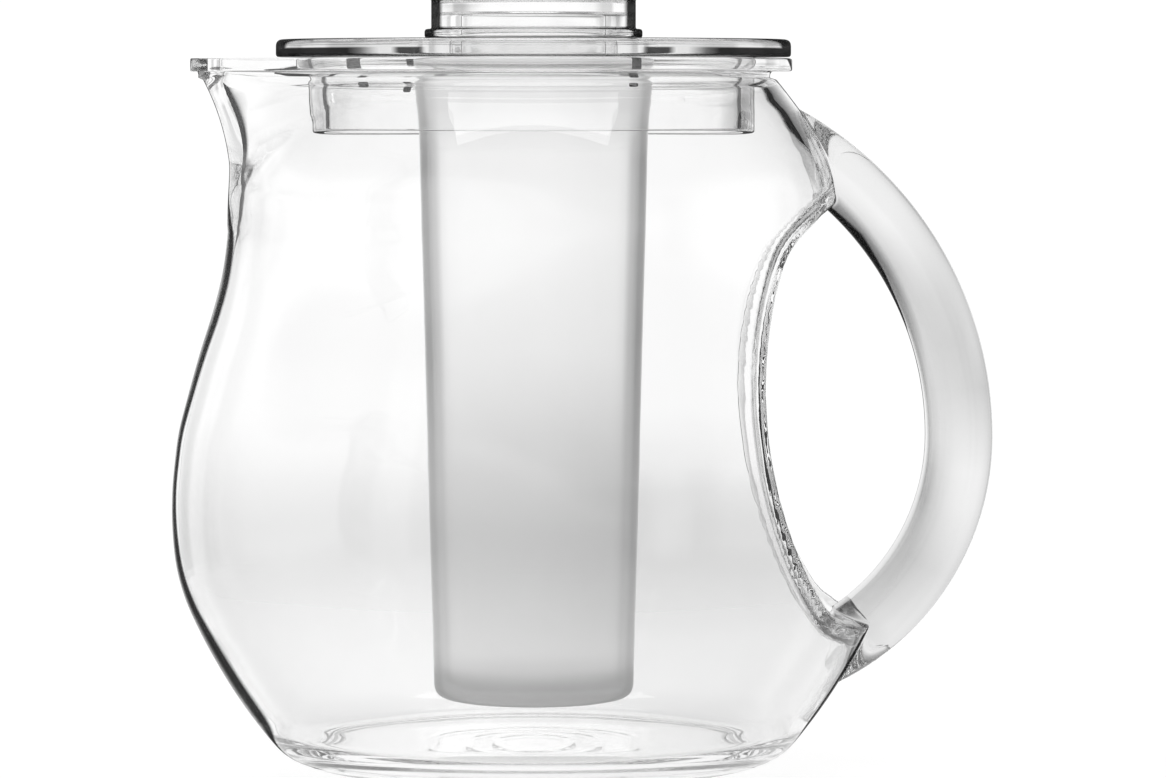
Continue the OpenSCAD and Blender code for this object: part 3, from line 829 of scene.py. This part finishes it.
# %% The lid
def lid_skin(grid):
    """The lid's numbers: a painted dark edge on the plate's rim and a narrow one on the skirt's
    outside, a painted line on the skirt's inner face, a little painted shade on the plate's rim, and
    a painted reflection of the dark surround on the lower half of that rim."""
    radius = np.hypot(grid[..., 0], grid[..., 1])
    height = (grid[..., 2] - LID_Z) / (LID_TOP - LID_Z)
    edge = np.where(radius > SKIRT_R - 0.6*MM, np.where(height > -0.01, 0.3, 0.09), 0.03)
    hollow_side = (radius < SKIRT_R - 1.5*MM) & (radius > SPIGOT_R + 5*MM)
    line = np.where(height < 0, np.where(hollow_side, 0.014, 0.002), 0.006)
    rim = np.clip((radius - LID_R + 2*MM)/(0.6*MM), 0, 1)
    low = np.interp(height, [-0.02, 0.0, 0.05, 0.46, 0.52, 1.0], [0, 0.3, 1, 1, 0, 0])
    return skin(grid, np.where(height > 0, 0.985 - 0.1*rim, 1.0), edge, line, rim*low)


lid_grid = turned(lid_line, 256)
lid = closed_piece("lid_plate", lid_grid, "lid", acrylic_lid, ring=True,
                   extra=pegs, attributes=lid_skin(lid_grid))
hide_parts("lid")

# %% [markdown]
# ## The ice core
#
# The core is a frosted cup. Light passes it, but the picture behind is lost. Scattering worked out
# inside the wall would look right, but it needs a very long render to lose its grain. So the skin
# is a mix of a pale scattering plastic, a glow that stands for the light inside it, and plain
# see-through. Edges look denser because more plastic lies along the line of sight there.

# %% Frosted plastic
# Height as a share of the jug, and the tone there: less light reaches the lower half.
CORE_TONES = [(0.0, 0.27), (0.10, 0.28), (0.118, 0.31), (0.135, 0.60), (0.16, 0.67), (0.245, 0.63),
              (0.33, 0.53), (0.416, 0.57), (0.50, 0.71), (0.587, 0.85), (0.75, 0.95), (0.87, 0.94),
              (0.93, 0.72), (1.0, 0.70)]
# The wall of the cup looks darker where the eye looks along it: facing value, and the tone there.
CORE_EDGE = [(0.0, 1.0), (0.42, 1.0), (0.55, 0.8), (0.66, 0.48), (0.8, 0.48), (0.9, 0.75), (1.0, 0.9)]
# That tone is raised to a power, strongest in the upper part: height, and a third of the power.
CORE_EDGE_POWER = [(0.0, 0.33), (0.4, 0.33), (0.6, 0.85), (0.86, 0.85), (0.93, 0.4), (1.0, 0.33)]
# Painted shade across the cup: place from the spout's side, 0, to the handle's side, 1, and
# the tone there.
CORE_SPAN = 60 * MM
CORE_PAINTED_SIDE_SHADE = [(0.0, 0.97), (0.2, 1.0), (0.55, 1.0), (0.85, 0.93), (1.0, 0.9)]
# How much of the picture behind is covered: by facing value, and by height at the cup's ends.
CORE_COVER = [(0.0, 0.55), (0.5, 0.62), (0.66, 0.80), (0.9, 0.88), (1.0, 0.97)]
CORE_ENDS = [(0.0, 0.95), (0.10, 0.8), (0.14, 0), (0.80, 0), (0.92, 0.92), (1.0, 0.95)]


def frosted_plastic(name):
    """Pale scattering plastic that glows with the light inside it, partly see-through, denser
    where it turns from the eye and at its collar and its bottom."""
    material, nodes, links, output = new_material(name)
    plastic = nodes.new("ShaderNodeBsdfPrincipled")
    plastic.inputs["Base Color"].default_value = grey(0.3)
    plastic.inputs["Roughness"].default_value = 0.38
    plastic.inputs["Emission Strength"].default_value = 1.33
    glow = nodes.new("ShaderNodeBsdfTranslucent")
    glow.inputs["Color"].default_value = grey(0.36)
    place = nodes.new("ShaderNodeTexCoord")
    split = nodes.new("ShaderNodeSeparateXYZ")
    links.new(place.outputs["Object"], split.inputs[0])
    height = math_node(nodes, links, "DIVIDE", split.outputs["Z"], float(RIM_Z))
    tone = ramp(nodes, CORE_TONES)
    links.new(height, tone.inputs["Fac"])
    facing = nodes.new("ShaderNodeLayerWeight")
    facing.inputs["Blend"].default_value = 0.5
    edge = ramp(nodes, CORE_EDGE)
    links.new(facing.outputs["Facing"], edge.inputs["Fac"])
    power = ramp(nodes, CORE_EDGE_POWER)
    links.new(height, power.inputs["Fac"])
    dim = math_node(nodes, links, "POWER", edge.outputs["Color"],
                    math_node(nodes, links, "MULTIPLY", power.outputs["Color"], 3.0))
    lit = math_node(nodes, links, "MULTIPLY", tone.outputs["Color"], dim)
    sideways = math_node(nodes, links, "DIVIDE", split.outputs["X"], CORE_SPAN)
    across = math_node(nodes, links, "ADD", sideways, 0.5)
    away = ramp(nodes, CORE_PAINTED_SIDE_SHADE)
    links.new(across, away.inputs["Fac"])
    links.new(math_node(nodes, links, "MULTIPLY", lit, away.outputs["Color"]),
              plastic.inputs["Emission Color"])
    through = nodes.new("ShaderNodeBsdfTransparent")
    through.inputs["Color"].default_value = grey(0.97)
    body = nodes.new("ShaderNodeMixShader")
    body.inputs["Fac"].default_value = 0.4
    links.new(plastic.outputs["BSDF"], body.inputs[1])
    links.new(glow.outputs["BSDF"], body.inputs[2])
    density = ramp(nodes, CORE_COVER)
    links.new(facing.outputs["Facing"], density.inputs["Fac"])
    ends = ramp(nodes, CORE_ENDS)
    links.new(height, ends.inputs["Fac"])
    cover = nodes.new("ShaderNodeMixShader")
    links.new(math_node(nodes, links, "MAXIMUM", density.outputs["Color"], ends.outputs["Color"]),
              cover.inputs["Fac"])
    links.new(through.outputs["BSDF"], cover.inputs[1])
    links.new(body.outputs["Shader"], cover.inputs[2])
    links.new(cover.outputs["Shader"], output.inputs["Surface"])
    return material


frosted = frosted_plastic("frosted_core_plastic")
print("frosted material:", frosted.name)

# %% The core
CORE_Z = core_low[2]
CORE_TOP = core_high[2]
COLLAR_R = core_high[0]
CORE_TOP_R = 27.4 * MM
CORE_BOTTOM_R = 23.9 * MM
CORE_WALL = 2 * MM
CORE_FLOOR = 3.6 * MM
TAPER_Z = CORE_TOP - 14*MM
core_line = rounded(
    [(0.3*MM, CORE_Z), (CORE_BOTTOM_R, CORE_Z), (CORE_TOP_R, TAPER_Z), (COLLAR_R, CORE_TOP - 4*MM),
     (COLLAR_R, CORE_TOP), (CORE_TOP_R - CORE_WALL, CORE_TOP), (CORE_TOP_R - CORE_WALL, TAPER_Z),
     (CORE_BOTTOM_R - CORE_WALL, CORE_Z + CORE_FLOOR), (0.3*MM, CORE_Z + CORE_FLOOR)],
    np.array([0, 3.4, 6, 4, 0.5, 0.5, 5, 2, 0]) * MM, 8)
core = closed_piece("core_cup", turned(core_line, 192), "core", frosted)
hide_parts("ice_core")

# %% [markdown]
# ## The cap
#
# The cap is a hollow knob, open below, with a base flange, a dished top and a plug that fits the
# filler bore. It could be stacked from discs and tubes. One turned outline, from the middle of the
# hollow down to the plug and up to the middle of the dish, keeps it a single closed shell.

# %% The cap's profile
CAP_Z = LID_TOP + 0.3*MM
CAP_TOP = cap_high[2]
CAP_R = 24.4 * MM
CAP_RIM_R = 25.2 * MM
CAP_RIM_T = 2 * MM
CAP_FLANGE_R = cap_high[0]
CAP_FLANGE_T = 2.2 * MM
CAP_WALL = 2.4 * MM
DISH_R = 17.2 * MM
DISH_DEPTH = 2.8 * MM
CAP_TOP_T = 2.2 * MM
PLUG_Z = cap_low[2]
PLUG_R = FILLER_R - 0.3*MM
cap_line = rounded(
    [(0.2*MM, CAP_TOP - DISH_DEPTH - CAP_TOP_T), (PLUG_R - CAP_WALL, CAP_TOP - DISH_DEPTH - CAP_TOP_T),
     (PLUG_R - CAP_WALL, PLUG_Z), (PLUG_R, PLUG_Z), (PLUG_R, CAP_Z), (CAP_FLANGE_R, CAP_Z),
     (CAP_FLANGE_R, CAP_Z + CAP_FLANGE_T), (CAP_R, CAP_Z + CAP_FLANGE_T),
     (CAP_R, CAP_TOP - CAP_RIM_T), (CAP_RIM_R, CAP_TOP - CAP_RIM_T), (CAP_RIM_R, CAP_TOP),
     (DISH_R, CAP_TOP), (DISH_R - 1*MM, CAP_TOP - DISH_DEPTH), (0.2*MM, CAP_TOP - DISH_DEPTH)],
    np.array([0, 1.2, 0.5, 0.5, 0.4, 0.8, 0.8, 0.5, 0.3, 0.6, 0.9, 0.7, 0.8, 0]) * MM, 7)
cap_grid = turned(cap_line, 192)
print(f"cap: {len(cap_line)} points in its outline, {(CAP_TOP - PLUG_Z) / MM:.1f} mm high")


# %% The cap
# Beyond this radius a point is on the cap's outside, and not in the dish or on the plug.
CAP_OUTSIDE_R = 21 * MM


def cap_skin(grid):
    """The cap's numbers: a wide painted dark edge outside, and a painted reflection of the dark
    surround on the rim round its top.
    """
    radius = np.hypot(grid[..., 0], grid[..., 1])
    edge = np.where(radius > CAP_OUTSIDE_R, 0.46, 0.05)
    on_rim = (radius > CAP_R - 0.2*MM) & (grid[..., 2] > CAP_TOP - CAP_RIM_T - 0.05*MM)
    return skin(grid, 0.985, edge, 0.006, np.where(on_rim, 1.0, 0.0))


cap = closed_piece("cap_knob", cap_grid, "cap", acrylic_cap,
                   attributes=cap_skin(cap_grid))
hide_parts("core_cap")

# %% [markdown]
# ## Floor, light and camera
#
# The picture was taken on white, with the light coming from everywhere but straight above. The
# floor is a pale disc, and the paper behind it is as white, so its edge doesn't show. The sky that
# the plastic mirrors and bends is white at the horizon and dark overhead, which draws the dark
# lines along the level edges of the lid and the rim, and grey cards stand in it near the
# diagonals, for soft upright tones in the walls. Ceiling and cards could be built as objects of the
# stage, but a sky made of nodes needs none, and it is the same for every view.

# %% The floor
FLOOR_GLOW = 0.93
FLOOR_TONES = [(0.3, 0.10), (0.7, 0.13)]


def floor_material():
    """A pale matt floor with the faintest mottling."""
    material, nodes, links, output = new_material("pale_floor")
    matt = nodes.new("ShaderNodeBsdfPrincipled")
    matt.inputs["Roughness"].default_value = 0.7
    matt.inputs["Emission Color"].default_value = (1, 1, 1, 1)
    matt.inputs["Emission Strength"].default_value = FLOOR_GLOW
    noise = nodes.new("ShaderNodeTexNoise")
    noise.inputs["Scale"].default_value = 3.0
    tone = ramp(nodes, FLOOR_TONES)
    links.new(noise.outputs["Fac"], tone.inputs["Fac"])
    links.new(tone.outputs["Color"], matt.inputs["Base Color"])
    links.new(matt.outputs["BSDF"], output.inputs["Surface"])
    return material


FLOOR_RADII = np.array([0.02, 0.1, 0.2, 0.28])
FLOOR_COLUMNS = 96
floor_rows = turned(np.column_stack([FLOOR_RADII, 0*FLOOR_RADII]), FLOOR_COLUMNS)
floor_points = floor_rows.reshape(-1, 3)
floor_faces = grid_faces(len(FLOOR_RADII), FLOOR_COLUMNS, False).tolist() + [list(range(FLOOR_COLUMNS))]
floor_mesh = bpy.data.meshes.new("floor")
floor_mesh.from_pydata(floor_points.tolist(), [], floor_faces)
floor_mesh.materials.append(floor_material())
floor = bpy.data.objects.new("floor", floor_mesh)
bpy.context.scene.collection.objects.link(floor)
floor.location = (0, 0, -0.05*MM)
print(f"floor: {len(floor_faces)} faces, radius {FLOOR_RADII[-1]:.2f} m")

# %% The sky and its helpers
scene = bpy.context.scene
world = bpy.data.worlds.new("studio")
scene.world = world
world.use_nodes = True
sky_nodes, sky_links = world.node_tree.nodes, world.node_tree.links
sky = sky_nodes["Background"]
sky.inputs["Strength"].default_value = 1.03
direction = sky_nodes.new("ShaderNodeTexCoord")
part = sky_nodes.new("ShaderNodeSeparateXYZ")


def sky_math(operation, a, b=0.0):
    """A math node of the sky; each input is a socket or a number."""
    return math_node(sky_nodes, sky_links, operation, a, b)


def sky_mix(blend, factor, a, b):
    """A colour mix of the sky; each input is a socket, a number or a colour."""
    node = sky_nodes.new("ShaderNodeMix")
    node.data_type = "RGBA"
    node.blend_type = blend
    for name, value in (("Factor", factor), ("A", a), ("B", b)):
        if hasattr(value, "links"):
            sky_links.new(value, node.inputs[name])
        else:
            node.inputs[name].default_value = value
    return node.outputs["Result"]


# %% Ceiling, cards and paper
# The dark ceiling comes lower on the handle's side: it starts where Z + lean X Y^2 passes 0.22.
CEILING_LEAN = 0.6
CEILING = [(0.0, 1.0), (0.22, 1.0), (0.33, 0.45), (0.5, 0.12), (0.8, 0.14), (1.0, 0.35)]
sky_links.new(direction.outputs["Generated"], part.inputs[0])
xx = sky_math("MULTIPLY", part.outputs["X"], part.outputs["X"])
yy = sky_math("MULTIPLY", part.outputs["Y"], part.outputs["Y"])
lean = sky_math("MULTIPLY", sky_math("MULTIPLY", part.outputs["X"], yy), CEILING_LEAN)
ceiling = ramp(sky_nodes, CEILING)
sky_links.new(sky_math("ADD", part.outputs["Z"], lean), ceiling.inputs["Fac"])
# Upright grey cards stand round the jug, each a little off a diagonal. |2 x y| / (x^2 + y^2) is
# |sin 2a|, 0 along an axis and 1 on a diagonal: white first, then a grey card, then a white gap.
CARDS = [(0.0, 1.0), (0.6, 1.0), (0.78, 0.92), (0.88, 0.65), (0.966, 0.65), (0.986, 1.0)]
across = sky_math("ADD", xx, sky_math("ADD", yy, 0.0001))
xy2 = sky_math("MULTIPLY", sky_math("MULTIPLY", part.outputs["X"], part.outputs["Y"]), 2.0)
sin_2a = sky_math("ABSOLUTE", sky_math("DIVIDE", xy2, across))
cards = ramp(sky_nodes, CARDS)
sky_links.new(sin_2a, cards.inputs["Fac"])
# The cards stand on the table, so they end a little below the horizon.
foot = ramp(sky_nodes, [(0.0, 0.0), (0.76, 0.0), (0.84, 1.0), (1.0, 1.0)])
sky_links.new(sky_math("ADD", part.outputs["Z"], 1.0), foot.inputs["Fac"])
standing = sky_mix("MIX", foot.outputs["Color"], grey(1.0), cards.outputs["Color"])
lit = sky_mix("MULTIPLY", 1.0, ceiling.outputs["Color"], standing)
# What the lens sees directly is plain white paper.
path = sky_nodes.new("ShaderNodeLightPath")
sky_links.new(sky_mix("MIX", path.outputs["Is Camera Ray"], lit, grey(1.0)), sky.inputs["Color"])
print("sky:", len(sky_nodes), "nodes")


# %% The lamp above
def lamp(name, place, target, size, power):
    """A square soft lamp that looks at the target."""
    data = bpy.data.lights.new(name, "AREA")
    data.shape = "SQUARE"
    data.size = size
    data.energy = power
    light = bpy.data.objects.new(name, data)
    scene.collection.objects.link(light)
    light.location = place
    towards = np.array(target) - np.array(place)
    tilt = math.atan2(np.hypot(*towards[:2]), -towards[2])
    turn = math.atan2(towards[1], towards[0]) - math.pi/2
    light.rotation_euler = (tilt, 0, turn)
    print(f"{name}: {size} m wide, {power} W")


lamp("soft_above", (0, 0, 2.2), (0, 0, 0), 1.8, 22)

# %% The camera
# The photograph's centre lies a little right of the body's axis. The lens is long, nearly level
# with the lid and turned down by three degrees.
CAMERA_DISTANCE = 1.35
CAMERA_HEIGHT = 161 * MM
CAMERA_RIGHT = 11.8 * MM
PITCH = math.radians(3.04)
LENS = 174.4
camera_data = bpy.data.cameras.new("camera")
camera_data.sensor_width = 36
camera_data.lens = LENS
camera = bpy.data.objects.new("camera", camera_data)
scene.collection.objects.link(camera)
camera.location = (CAMERA_RIGHT, -CAMERA_DISTANCE, CAMERA_HEIGHT)
camera.rotation_euler = (math.pi/2 - PITCH, 0, 0)
scene.camera = camera
scene.view_settings.view_transform = "Standard"
# Light that runs along inside a wall is thrown back many times, and each time counts as a bounce
# of gloss. With fewer of them allowed, black bands show at the foot, the neck and the scoop.
scene.cycles.max_bounces = 64
scene.cycles.transmission_bounces = 48
scene.cycles.transparent_max_bounces = 32
scene.cycles.glossy_bounces = 48
scene.cycles.caustics_refractive = True
print("camera and light are set")
